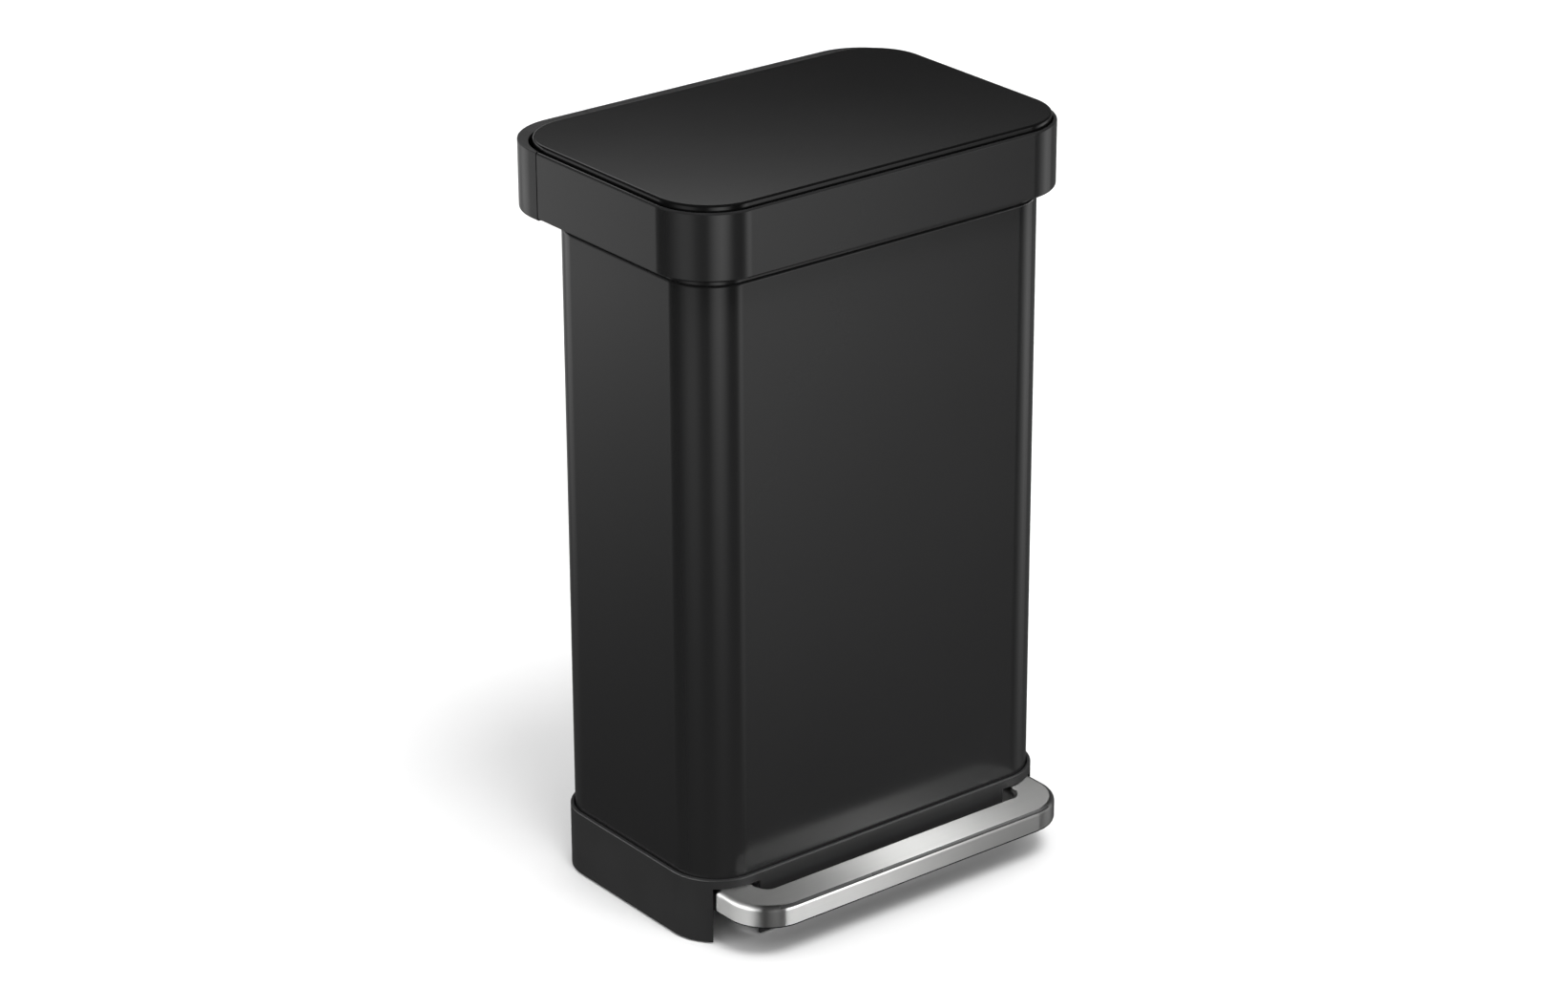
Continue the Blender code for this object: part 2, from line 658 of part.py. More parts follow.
def make_hinge_brackets():
    """Two arms that rise from the collar's shelf and hold the hinge pins."""
    foot = COLLAR_SHELF + GAP
    outline = [(0.070, foot), (0.0830, foot), (HINGE_Y - 0.0015, HINGE_Z - 0.0085)]
    outline += arc(HINGE_Y, HINGE_Z, KNUCKLE_RADIUS, -60, 170)
    outline += [(HINGE_Y - 0.0085, HINGE_Z - 0.0085), (0.0755, foot + 0.010)]
    for side_name, side in SIDES:
        x_low, x_high = sorted(side * x for x in BRACKET_SPAN)
        bracket = side_slab(f"hinge_bracket_{side_name}", outline, x_low, x_high)
        cut(bracket, hinge_hole(f"bracket_hole_{side_name}", x_low, x_high))
        finish(bracket, "zinc_steel")
        x_low, x_high = sorted(side * x for x in PIN_SPAN)
        pin = cylinder(f"hinge_pin_{side_name}", PIN_RADIUS,
                       (x_low, HINGE_Y, HINGE_Z), (x_high, HINGE_Y, HINGE_Z), 16)
        finish(pin, "zinc_steel")


def hinge_hole(name, x_low, x_high):
    return cylinder(name, PIN_HOLE, (x_low - 0.001, HINGE_Y, HINGE_Z),
                    (x_high + 0.001, HINGE_Y, HINGE_Z), 16)


def make_housing():
    """The plastic back of the rim: hollow, open in front, with a strip behind the lid."""
    housing = slab("rear_housing", [rim_back_plan(0, HOUSING_START)], HOUSING_LOW, RIM_HIGH)
    cavity = [rim_back_plan(HOUSING_WALL, HOUSING_START - 0.01)]
    cut(housing, slab("housing_cavity", cavity, HOUSING_LOW + HOUSING_WALL, RIM_HIGH - HOUSING_WALL))
    strip_front = RIM_BACK - HOUSING_LIP
    lid_space = [rounded_plan(RIM_HALF_WIDTH - 0.003, HOUSING_START - 0.01, strip_front,
                              0, LID_BACK_RADIUS + 0.0014)]
    cut(housing, slab("housing_lid_space", lid_space, RIM_HIGH - 0.01, RIM_HIGH + 0.01))
    cut(housing, slab("housing_body_space", [body_plan(GAP)], HOUSING_LOW - 0.01, HOUSING_LOW + 0.01))
    cover_seat = [rectangle(-COVER_HALF_WIDTH - GAP, COVER_HALF_WIDTH + GAP,
                            strip_front - 0.01, RIM_BACK - 0.0012)]
    cut(housing, slab("housing_cover_seat", cover_seat, RIM_HIGH - 0.0015, RIM_HIGH + 0.01))
    finish(housing, "black_plastic")
    cover_plan = [rectangle(-COVER_HALF_WIDTH, COVER_HALF_WIDTH, strip_front - COVER_EXTRA,
                            RIM_BACK - 0.0012 - GAP)]
    cover = slab("hinge_cover", cover_plan, RIM_HIGH - 0.0015 + GAP, RIM_HIGH + 0.0006)
    finish(cover, "black_plastic")


# ---------------------------------------------------------------- rim
def make_rim_band(axis):
    band = slab("rim_band", [rim_plan(0, BAND_END + 0.02)], RIM_LOW, RIM_HIGH)
    round_edges(band, RIM_EDGE, RIM_HIGH)
    cut(band, slab("band_inside", [rim_plan(BAND_WALL, BAND_END + 0.03)], RIM_LOW - 0.01,
                   RIM_HIGH - BAND_WALL))
    cut(band, slab("band_top", [rim_plan(BAND_LIP, BAND_END + 0.03)], RIM_HIGH - 0.005,
                   RIM_HIGH + 0.01))
    cut(band, slab("band_end", [rectangle(-0.3, 0.3, BAND_END, 0.3)], 0.5, 0.7))
    finish(band, "black_steel", axis)


def make_liner_frame(axis):
    """The plastic ring inside the band: a deck round the mouth, a skirt and two hinge arms."""
    outer_inset = BAND_WALL + GAP
    frame = slab("liner_frame", [rim_plan(outer_inset, BAND_END - 0.001)], FRAME_LOW, FRAME_HIGH)
    hollow = slab("frame_hollow", [rim_plan(outer_inset + FRAME_WALL, BAND_END + 0.01)],
                  FRAME_LOW - 0.01, FRAME_HIGH - FRAME_DECK)
    cut(frame, hollow)
    join(frame, slab("mouth_wall", [mouth_plan(MOUTH_WALL)], MOUTH_WALL_LOW, FRAME_HIGH - 0.001))
    cut(frame, slab("mouth", [mouth_plan(0)], MOUTH_WALL_LOW - 0.01, FRAME_HIGH + 0.01))
    inner_x = RIM_KNUCKLE_SPAN[0]
    cut(frame, slab("frame_back", [rectangle(-inner_x, inner_x, FRAME_BAR_BACK, 0.2)], 0.5, 0.7))
    cut(frame, slab("frame_rod_notch", [rectangle(-0.016, 0.016, 0.063, 0.2)], 0.5, 0.7))
    for side_name, side in SIDES:
        x_low, x_high = sorted(side * x for x in RIM_KNUCKLE_SPAN)
        outline = [(0.072, FRAME_HIGH - 0.002), (HINGE_Y - 0.001, FRAME_HIGH - 0.002)]
        outline += arc(HINGE_Y, HINGE_Z, KNUCKLE_RADIUS, -50, 160)
        join(frame, side_slab(f"rim_knuckle_{side_name}", outline, x_low, x_high))
        cut(frame, hinge_hole(f"rim_hinge_hole_{side_name}", x_low, x_high))
    finish(frame, "black_plastic", axis)
    for side_name, side in SIDES:
        x, y = side * 0.120, -0.102
        bumper = cylinder(f"lid_bumper_{side_name}", 0.004, (x, y, FRAME_HIGH + GAP),
                          (x, y, LID_REAR_LOW - GAP), 16)
        finish(bumper, "rubber", axis)


# ---------------------------------------------------------------- lid
def lid_plan(inset):
    half = RIM_HALF_WIDTH - LID_INSET - inset
    return rounded_plan(half, RIM_FRONT + LID_INSET + inset, LID_BACK - inset,
                        RIM_RADIUS - LID_INSET - inset, LID_BACK_RADIUS - inset)


def make_lid_skin(axis):
    skin = slab("lid_skin", [lid_plan(0)], LID_FLANGE_LOW, HEIGHT)
    remove_faces(skin, "Z", LID_FLANGE_LOW)
    round_edges(skin, LID_EDGE, HEIGHT)
    thicken(skin, LID_SKIN)
    rear = [rectangle(-0.3, 0.3, HINGE_Y - 0.004, 0.3)]
    cut(skin, slab("skin_rear_trim", rear, LID_FLANGE_LOW - 0.01, LID_REAR_LOW))
    cover = [rectangle(-COVER_HALF_WIDTH - 0.001, COVER_HALF_WIDTH + 0.001,
                       LID_BACK - COVER_EXTRA, 0.3)]
    cut(skin, slab("skin_cover_notch", cover, LID_FLANGE_LOW - 0.01, HEIGHT + 0.01))
    finish(skin, "black_steel", axis)


def make_lid_tray(axis):
    """The plastic underside: a plate, a rib that drops into the mouth, and two knuckles."""
    inset = LID_SKIN + GAP
    tray = slab("lid_tray", [lid_plan(inset + 0.003)], LID_REAR_LOW, LID_TRAY_HIGH)
    rib = [mouth_plan(-TRAY_RIB_INSET), mouth_plan(-TRAY_RIB_INSET - TRAY_RIB_WALL)]
    join(tray, slab("tray_rib", rib, TRAY_RIB_LOW, LID_REAR_LOW + 0.001))
    cover = [rectangle(-COVER_HALF_WIDTH - 0.001, COVER_HALF_WIDTH + 0.001,
                       LID_BACK - COVER_EXTRA - 0.002, 0.3)]
    cut(tray, slab("tray_cover_notch", cover, 0.60, 0.70))
    for side_name, side in SIDES:
        x_low, x_high = sorted(side * x for x in (LID_KNUCKLE_SPAN[1] + GAP, 0.1882))
        space = [rectangle(x_low, x_high, HINGE_Y - 0.0085, HINGE_Y + 0.0085)]
        cut(tray, slab(f"tray_knuckle_space_{side_name}", space, 0.60, 0.70))
        x_low, x_high = sorted(side * x for x in LID_KNUCKLE_SPAN)
        outline = [(HINGE_Y + KNUCKLE_RADIUS, LID_REAR_LOW + 0.001),
                   (HINGE_Y - KNUCKLE_RADIUS, LID_REAR_LOW + 0.001)]
        outline += arc(HINGE_Y, HINGE_Z, KNUCKLE_RADIUS, 180, 360)
        join(tray, side_slab(f"lid_knuckle_{side_name}", outline, x_low, x_high))
        x_low, x_high = sorted(side * x for x in PIN_SPAN)
        cut(tray, hinge_hole(f"lid_hinge_hole_{side_name}", x_low, x_high))
    for name, x, y in lever_screw_places():
        cut(tray, screw_hole(name + "_tray_hole", x, y, LID_REAR_LOW - 0.001, 0.66))
    finish(tray, "black_plastic", axis)


def lever_screw_places():
    for side_name, side in SIDES:
        yield f"lid_lever_screw_{side_name}", side * 0.009, 0.0715


def make_lid_lever(axis):
    """The short lever that the push rod's head lifts."""
    high = LID_REAR_LOW - GAP
    low = high - 0.003
    angle = math.radians(180 + LID_LEVER_ANGLE)
    nose = (HINGE_Y + LID_LEVER_ARM * math.cos(angle), HINGE_Z + LID_LEVER_ARM * math.sin(angle))
    lever = slab("lid_lever", [rectangle(-0.0135, 0.0135, 0.066, 0.0875)], low, high)
    outline = [(0.0670, low + 0.001)] + arc(*nose, LID_LEVER_NOSE, 190, 350) + [(0.0820, low + 0.001)]
    join(lever, side_slab("lever_arm", outline, -0.0045, 0.0045))
    for name, x, y in lever_screw_places():
        cut(lever, screw_hole(name + "_lever_hole", x, y, low - 0.001, high + 0.001))
        screw(name, x, y, low - GAP - 0.0018, LID_TRAY_HIGH - 0.0002, axis)
    finish(lever, "black_plastic", axis)


def make_axis(name, y, z):
    """An empty on a joint's axis, which carries the pieces that turn or slide there."""
    axis = bpy.data.objects.new(name, None)
    axis.location = (0, y, z)
    axis.empty_display_size = 0.03
    PARTS.objects.link(axis)
    bpy.context.view_layer.update()
    return axis


def make_all():
    make_body_shell()
    make_base()
    make_feet()
    make_body_floor()
    make_bearings()
    make_rod_guides()
    make_damper_clamp()
    make_rod_channel()
    make_bucket()
    make_collar()
    make_hinge_brackets()
    make_housing()

    pedal_axis = make_axis("pedal_axis", AXLE_Y, AXLE_Z)
    make_pedal_cover(pedal_axis)
    make_pedal_liner(pedal_axis)
    make_axle(pedal_axis)
    make_rear_lever(pedal_axis)

    rod_axis = make_axis("rod_axis", ROD_Y, ROD_LOW)
    make_push_rod(rod_axis)
    make_damper(rod_axis)

    rim_axis = make_axis("rim_axis", HINGE_Y, HINGE_Z)
    make_rim_band(rim_axis)
    make_liner_frame(rim_axis)

    lid_axis = make_axis("lid_axis", HINGE_Y, HINGE_Z)
    make_lid_skin(lid_axis)
    make_lid_tray(lid_axis)
    make_lid_lever(lid_axis)


for old in list(bpy.data.objects):
    bpy.data.objects.remove(old)
SIDES = (("left", -1), ("right", 1))
MATERIALS = {name: make_material(name) for name in COLOURS}
PARTS = bpy.data.collections.new("pedal_trash_can")
CUTTERS = bpy.data.collections.new("cutters")
bpy.context.scene.collection.children.link(PARTS)
bpy.context.scene.collection.children.link(CUTTERS)
make_all()
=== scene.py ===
"""Looks of the pedal trash can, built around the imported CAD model.

Metres, +Z up, front at -Y. The visible shells are rebuilt here with finer corners and edges, in
the places that the CAD nodes hold. Every piece and every CAD node gets a procedural material.
"""
import json
import math

import bmesh
import bpy
from mathutils import Matrix, Vector


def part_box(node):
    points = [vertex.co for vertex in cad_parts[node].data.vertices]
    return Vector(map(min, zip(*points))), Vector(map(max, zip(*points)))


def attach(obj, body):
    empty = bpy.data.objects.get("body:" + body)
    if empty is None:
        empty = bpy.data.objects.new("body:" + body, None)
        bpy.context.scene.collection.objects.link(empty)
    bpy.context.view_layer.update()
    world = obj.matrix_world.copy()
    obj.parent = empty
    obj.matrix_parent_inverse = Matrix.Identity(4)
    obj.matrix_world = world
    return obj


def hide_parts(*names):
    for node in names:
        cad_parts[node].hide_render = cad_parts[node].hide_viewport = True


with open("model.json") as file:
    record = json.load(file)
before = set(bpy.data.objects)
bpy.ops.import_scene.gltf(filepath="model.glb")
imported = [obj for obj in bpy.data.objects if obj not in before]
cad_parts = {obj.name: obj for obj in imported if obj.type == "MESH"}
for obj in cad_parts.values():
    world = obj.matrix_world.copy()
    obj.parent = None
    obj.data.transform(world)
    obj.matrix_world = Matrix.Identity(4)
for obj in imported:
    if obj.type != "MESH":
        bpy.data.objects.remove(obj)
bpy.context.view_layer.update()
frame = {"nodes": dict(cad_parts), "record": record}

MM = 0.001
CORNER_STEPS = 28               # facets in a quarter-turn corner in plan
EDGE_STEPS = 6                  # facets in the rounding of an edge
SHARP_ANGLE = 32                # degrees between faces that meet in a sharp edge

# Corner radii in plan, front and back, which the boxes of the CAD nodes can't give.
RIM_RADIUS = 54 * MM
LID_RADII = (49.8 * MM, 49 * MM)
BODY_RADII = (42 * MM, 38 * MM)
BASE_RADII = (46 * MM, 42 * MM)
PEDAL_RADIUS = 40 * MM
SLOT_RADIUS = 10 * MM
SLOT_HALF_WIDTH = 137 * MM
PEDAL_BAR = 35 * MM             # from the pedal's front to its slot
BUCKET_RADIUS = 34 * MM
BUCKET_TAPER = 0.93             # size of the bucket's floor against its mouth

STEEL_WALL = 0.6 * MM
STEEL_EDGE = 0.2 * MM
SEAM = 1.2 * MM                 # width of the body's welded seam
SEAM_DEPTH = 0.25 * MM
BASE_WALL = 3 * MM
HOUSING_WALL = 2.5 * MM
BAND_WALL = 1.2 * MM
BAND_LIP = 3.1 * MM             # width of the band's turned-in top edge
LIP_DROP = 0.5 * MM             # how far that edge slopes down inwards
SKIN = 1 * MM                   # thickness of the lid's and the pedal's steel
RIM_EDGE = 2 * MM
HOUSING_EDGE = 0.9 * MM
HEM = 2.0 * MM                  # rounding of the rim's lower edge
LID_EDGE = 2 * MM
NECK_START = 577 * MM           # where the body's wall turns in under the band
NECK_RADIUS = 3 * MM
NECK_TURN = 60                  # degrees
NECK_STEPS = 8
PEDAL_EDGE = 4.5 * MM
BASE_EDGE = 1.2 * MM
NOTCH_SPAN = (132 * MM, 172.5 * MM)     # the base's openings for the pedal's arms
NOTCH_DEPTH = 33.5 * MM
NOTCH_HIGH = 51 * MM
DECK = (50 * MM, 53 * MM)       # underside and top of the deck inside the base
FOOT_ROOM = 2 * MM              # round the push rod's foot, in the deck
CLEARANCE = 0.4 * MM
STRIP = 13.9 * MM               # width of the housing's strip behind the lid
COVER_CORNER = 1.2 * MM
COVER_EDGE = 0.5 * MM
LID_REAR_START = 88 * MM        # behind this, the lid's sheet has no side wall
LID_REAR_LOW = 646 * MM
BUCKET_LIP = 2.8 * MM
BUCKET_WALL = 1.6 * MM
BUCKET_FOOT = 5 * MM            # rounding between the bucket's side and floor
BEYOND = 10 * MM                # how far a cutter reaches past what it cuts


# ---------------------------------------------------------------- outlines in plan
def arc(x, y, radius, start, end, steps=CORNER_STEPS):
    """Points of an arc from one angle to another, in degrees."""
    points = []
    for step in range(steps + 1):
        angle = math.radians(start + (end - start) * step / steps)
        points.append((x + radius * math.cos(angle), y + radius * math.sin(angle)))
    return points


def front_corners(half, front, radius):
    return (arc(radius - half, front + radius, radius, 180, 270)
            + arc(half - radius, front + radius, radius, 270, 360))


def back_corners(half, back, radius):
    return (arc(half - radius, back - radius, radius, 0, 90)
            + arc(radius - half, back - radius, radius, 90, 180))


def box_loop(low, high, radii, inset=0.0):
    """A closed outline with round corners between two points, moved in by inset."""
    half = high[0] - inset
    return (back_corners(half, high[1] - inset, radii[1] - inset)
            + front_corners(half, low[1] + inset, radii[0] - inset))


def front_path(low, high, radius, inset):
    """An open outline round the front, with its ends at the back of the box."""
    half = high[0] - inset
    return [(-half, high[1])] + front_corners(half, low[1] + inset, radius - inset) + [(half, high[1])]


def back_path(half, start, back, radius):
    """An open outline round the back, from y = start on the right to the left."""
    middle = back - radius
    first = math.degrees(math.asin(max(0.0, (start - middle) / radius)))
    right = arc(half - radius, middle, radius, first, 90)
    left = [(-x, y) for x, y in reversed(right)]
    return [(right[0][0], start)] + right + left + [(left[-1][0], start)]


def pedal_loop(inset, back):
    """The outline of the C-shaped pedal, moved in by inset, its arms ending at back."""
    low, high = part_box("pedal_cover")
    half = high[0] - inset
    front = low[1] + inset
    slot = SLOT_HALF_WIDTH + inset
    slot_front = low[1] + PEDAL_BAR - inset
    radius = SLOT_RADIUS + inset
    points = [(-half, back)] + front_corners(half, front, PEDAL_RADIUS - inset) + [(half, back)]
    points += [(slot, back)] + arc(slot - radius, slot_front + radius, radius, 360, 270)
    points += arc(radius - slot, slot_front + radius, radius, 270, 180) + [(-slot, back)]
    return points


def round_over(inset, z, radius, downward=False):
    """The (inset, z) points of an outer edge's rounding, from the side to the flat."""
    points = []
    for step in range(EDGE_STEPS + 1):
        angle = math.radians(90 * step / EDGE_STEPS)
        drop = radius - radius * math.sin(angle)
        points.append((inset + radius - radius * math.cos(angle), z + drop if downward else z - drop))
    return points


# ---------------------------------------------------------------- meshes
def rings(plan, profile):
    """Rings for loft: plan(inset) gives an outline, and the profile is (inset, z) points."""
    return [[(x, y, z) for x, y in plan(inset)] for inset, z in profile]


def loft(name, rows, closed=True, shell=False, caps=(False, False)):
    """A mesh of faces between rings of points. A shell joins its last ring to its first."""
    bm = bmesh.new()
    rows = [[bm.verts.new(point) for point in row] for row in rows]
    count = len(rows[0])
    pairs = list(zip(rows, rows[1:]))
    if shell:
        pairs.append((rows[-1], rows[0]))
    for lower, upper in pairs:
        for i in range(count if closed else count - 1):
            j = (i + 1) % count
            bm.faces.new((lower[i], lower[j], upper[j], upper[i]))
    if caps[0]:
        bm.faces.new(list(reversed(rows[0])))
    if caps[1]:
        bm.faces.new(rows[-1])
    if shell and not closed:
        bm.faces.new([row[0] for row in rows])
        bm.faces.new([row[-1] for row in reversed(rows)])
    bmesh.ops.remove_doubles(bm, verts=bm.verts, dist=1e-6)
    bmesh.ops.recalc_face_normals(bm, faces=bm.faces)
    mesh = bpy.data.meshes.new(name)
    bm.to_mesh(mesh)
    bm.free()
    return mesh


def box_cutter(low, high):
    """The mesh of a box between two points, to cut with."""
    plan = [(low[0], low[1]), (high[0], low[1]), (high[0], high[1]), (low[0], high[1])]
    return loft("cutter", [[(x, y, z) for x, y in plan] for z in (low[2], high[2])], caps=(True, True))


def cut(mesh, cutters):
    """A new mesh with the cutters taken out of it."""
    target = bpy.data.objects.new("target", mesh)
    bpy.context.scene.collection.objects.link(target)
    tools = []
    for cutter in cutters:
        tool = bpy.data.objects.new("tool", cutter)
        bpy.context.scene.collection.objects.link(tool)
        modifier = target.modifiers.new("cut", "BOOLEAN")
        modifier.operation = "DIFFERENCE"
        modifier.solver = "EXACT"
        modifier.object = tool
        tools.append(tool)
    bpy.context.view_layer.update()
    evaluated = target.evaluated_get(bpy.context.evaluated_depsgraph_get())
    result = bpy.data.meshes.new_from_object(evaluated)
    result.name = mesh.name
    for obj in (target, *tools):
        bpy.data.objects.remove(obj)
    return result


def new_piece(mesh, material, body, slot, *nodes):
    """Makes a mesh a smooth-shaded piece that moves with a CAD body and stands for CAD nodes."""
    piece = bpy.data.objects.new(mesh.name, mesh)
    bpy.context.scene.collection.objects.link(piece)
    mesh.materials.clear()
    mesh.materials.append(MATERIALS[material])
    mesh.shade_smooth()
    mesh.set_sharp_from_angle(angle=math.radians(SHARP_ANGLE))
    normals = piece.modifiers.new("flat faces stay flat", "WEIGHTED_NORMAL")
    normals.keep_sharp = True
    normals.weight = 80
    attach(piece, body)
    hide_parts(*nodes)


# ---------------------------------------------------------------- shader nodes
def feed(tree, socket, value):
    """Gives a socket a number, or links it to another node's output."""
    if isinstance(value, (int, float)):
        socket.default_value = value
    else:
        tree.links.new(value, socket)


def math_node(tree, operation, *values):
    node = tree.nodes.new("ShaderNodeMath")
    node.operation = operation
    for socket, value in zip(node.inputs, values):
        feed(tree, socket, value)
    return node.outputs["Value"]


def square(tree, value):
    return math_node(tree, "MULTIPLY", value, value)


def smooth_step(tree, value, start, end, low=0.0, high=1.0):
    """An S-shaped change from low to high as the value goes from start to end."""
    node = tree.nodes.new("ShaderNodeMapRange")
    node.interpolation_type = "SMOOTHSTEP"
    node.inputs["From Min"].default_value = start
    node.inputs["From Max"].default_value = end
    node.inputs["To Min"].default_value = low
    node.inputs["To Max"].default_value = high
    tree.links.new(value, node.inputs["Value"])
    return node.outputs["Result"]


def straight_rise(tree, value, start, end):
    """A straight rise from 0 to 1 as the value goes from start to end."""
    node = tree.nodes.new("ShaderNodeMapRange")
    node.inputs["From Min"].default_value = start
    node.inputs["From Max"].default_value = end
    tree.links.new(value, node.inputs["Value"])
    return node.outputs["Result"]


def split_xyz(tree, vector):
    node = tree.nodes.new("ShaderNodeSeparateXYZ")
    tree.links.new(vector, node.inputs["Vector"])
    return node.outputs["X"], node.outputs["Y"], node.outputs["Z"]


def blend_value(tree, low, high, factor):
    """low + (high - low) * factor, with numbers or sockets."""
    node = tree.nodes.new("ShaderNodeMix")
    feed(tree, node.inputs["A"], low)
    feed(tree, node.inputs["B"], high)
    feed(tree, node.inputs["Factor"], factor)
    return node.outputs["Result"]


def noise(tree, scale, stretch=(1, 1, 1), detail=3.0):
    """A noise texture in the piece's own coordinates, in features per metre."""
    place = tree.nodes.new("ShaderNodeTexCoord")
    mapping = tree.nodes.new("ShaderNodeMapping")
    mapping.inputs["Scale"].default_value = stretch
    texture = tree.nodes.new("ShaderNodeTexNoise")
    texture.inputs["Scale"].default_value = scale
    texture.inputs["Detail"].default_value = detail
    tree.links.new(place.outputs["Object"], mapping.inputs["Vector"])
    tree.links.new(mapping.outputs["Vector"], texture.inputs["Vector"])
    return texture.outputs["Fac"]


def remap(tree, value, low, high):
    """Maps the middle of a noise's range to low..high."""
    node = tree.nodes.new("ShaderNodeMapRange")
    node.inputs["From Min"].default_value = 0.3
    node.inputs["From Max"].default_value = 0.7
    node.inputs["To Min"].default_value = low
    node.inputs["To Max"].default_value = high
    tree.links.new(value, node.inputs["Value"])
    return node.outputs["Result"]


# ---------------------------------------------------------------- materials
def shader_material(name, colour, roughness, metallic):
    material = bpy.data.materials.new(name)
    material.use_nodes = True
    shader = material.node_tree.nodes["Principled BSDF"]
    shader.inputs["Base Color"].default_value = (*colour, 1)
    shader.inputs["Roughness"].default_value = roughness
    shader.inputs["Metallic"].default_value = metallic
    return material, material.node_tree, shader


def bump(tree, shader, height, distance):
    node = tree.nodes.new("ShaderNodeBump")
    node.inputs["Distance"].default_value = distance
    tree.links.new(height, node.inputs["Height"])
    tree.links.new(node.outputs["Normal"], shader.inputs["Normal"])


def vary_colour(tree, shader, value, dark, light):
    mix = tree.nodes.new("ShaderNodeMix")
    mix.data_type = "RGBA"
    mix.inputs["A"].default_value = (*dark, 1)
    mix.inputs["B"].default_value = (*light, 1)
    tree.links.new(remap(tree, value, 0, 1), mix.inputs["Factor"])
    tree.links.new(mix.outputs["Result"], shader.inputs["Base Color"])


def coated_steel(name, grey, grain):
    """Satin black coated steel with very fine brush lines under the coat."""
    material, tree, shader = shader_material(name, (grey, grey, grey), 0.18, 0.0)
    shader.inputs["IOR"].default_value = 1.54
    lines = noise(tree, 1.0, grain, 2.0)
    patches = noise(tree, 7.0, detail=4.0)
    dark, light = 0.97 * grey, 1.03 * grey
    vary_colour(tree, shader, patches, (dark, dark, dark * 1.01), (light, light, light * 1.01))
    roughness = math_node(tree, "ADD", remap(tree, lines, -0.012, 0.012),
                          remap(tree, patches, 0.17, 0.19))
    tree.links.new(roughness, shader.inputs["Roughness"])
    bump(tree, shader, lines, 0.002 * MM)
    return material


def moulded_plastic(name, colour, roughness, grain_size=0.6 * MM, depth=0.012 * MM):
    """Moulded plastic with a fine spark-eroded grain and slightly uneven gloss."""
    material, tree, shader = shader_material(name, colour, roughness, 0.0)
    patches = noise(tree, 12.0, detail=4.0)
    gloss = remap(tree, patches, roughness - 0.03, roughness + 0.04)
    tree.links.new(gloss, shader.inputs["Roughness"])
    vary_colour(tree, shader, patches, colour, tuple(c * 1.12 for c in colour))
    bump(tree, shader, noise(tree, 1 / grain_size, detail=1.0), depth)
    return material


def brushed_steel(name, colour, roughness, depth, uneven):
    """Bright steel with fine level lines, which spread its highlights across them.

    The tangent is level on every face. Its 0.01 gives the flat top a direction too.
    """
    material, tree, shader = shader_material(name, colour, roughness, 1.0)
    shader.inputs["Anisotropic"].default_value = 1.0
    shader.inputs["Anisotropic Rotation"].default_value = 0.25
    surface = tree.nodes.new("ShaderNodeNewGeometry")
    normal_x, normal_y, _ = split_xyz(tree, surface.outputs["Normal"])
    along = tree.nodes.new("ShaderNodeCombineXYZ")
    tree.links.new(math_node(tree, "SUBTRACT", 0.01, normal_y), along.inputs["X"])
    tree.links.new(normal_x, along.inputs["Y"])
    tree.links.new(along.outputs["Vector"], shader.inputs["Tangent"])
    lines = noise(tree, 1.0, (14, 2600, 2600), 3.0)
    vary_colour(tree, shader, lines, tuple(c * 0.95 for c in colour), colour)
    gloss = remap(tree, lines, roughness - uneven, roughness + uneven)
    tree.links.new(gloss, shader.inputs["Roughness"])
    if depth:
        bump(tree, shader, lines, depth)
    return material


def zinc_steel(name):
    material, tree, shader = shader_material(name, (0.52, 0.53, 0.55), 0.38, 1.0)
    spangle = noise(tree, 160.0, detail=5.0)
    vary_colour(tree, shader, spangle, (0.44, 0.45, 0.47), (0.58, 0.59, 0.60))
    tree.links.new(remap(tree, spangle, 0.32, 0.45), shader.inputs["Roughness"])
    return material


def rubber(name):
    material, tree, shader = shader_material(name, (0.012, 0.012, 0.012), 0.85, 0.0)
    dust = noise(tree, 300.0, detail=3.0)
    vary_colour(tree, shader, dust, (0.010, 0.010, 0.010), (0.018, 0.018, 0.017))
    bump(tree, shader, dust, 0.02 * MM)
    return material


def make_materials():
    return {
        "coated_steel": coated_steel("coated_steel", 0.019, (6, 6, 2200)),
        # The lid is the body's coated steel painted much darker (0.003 against 0.019): painted shade
        # that makes up for the stronger light falling on its top.
        "lid_steel_painted_darker": coated_steel("lid_steel_painted_darker", 0.003, (6, 2200, 2200)),
        "base_plastic": moulded_plastic("base_plastic", (0.025, 0.025, 0.0253), 0.40),
        # The hinge cover's plastic, also laid on the housing's flat top behind the lid. That top is the
        # same moulding as the rest of the housing, so there the lighter colour is painted light on the
        # top.
        "cover_plastic_and_painted_lit_top": moulded_plastic("cover_plastic_and_painted_lit_top", (0.018, 0.018, 0.0184), 0.25),
        "black_plastic": moulded_plastic("black_plastic", (0.012, 0.012, 0.0122), 0.25),
        "bucket_plastic": moulded_plastic("bucket_plastic", (0.20, 0.21, 0.22), 0.48, 1.0 * MM),
        "brushed_steel": brushed_steel("brushed_steel", (0.70, 0.70, 0.69), 0.36, 0.002 * MM, 0.02),
        "polished_steel": brushed_steel("polished_steel", (0.74, 0.74, 0.73), 0.33, 0.0, 0.006),
        # A near-black plastic laid on the steel pedal's front rounding: a painted dark reflection, where
        # the polished edge would reflect the dark can.
        "painted_dark_reflection_edge": moulded_plastic("painted_dark_reflection_edge", (0.030, 0.030, 0.030), 0.30),
        "zinc_steel": zinc_steel("zinc_steel"),
        "rubber": rubber("rubber"),
    }


# ---------------------------------------------------------------- camera, lights and floor
CAMERA_PLACE = (-2.1473, -2.7179, 1.8232)
CAMERA_FORWARD = (0.5657, 0.7230, -0.3966)
CAMERA_UP = (0.2476, 0.3099, 0.9180)
CAMERA_LENS = 103.63

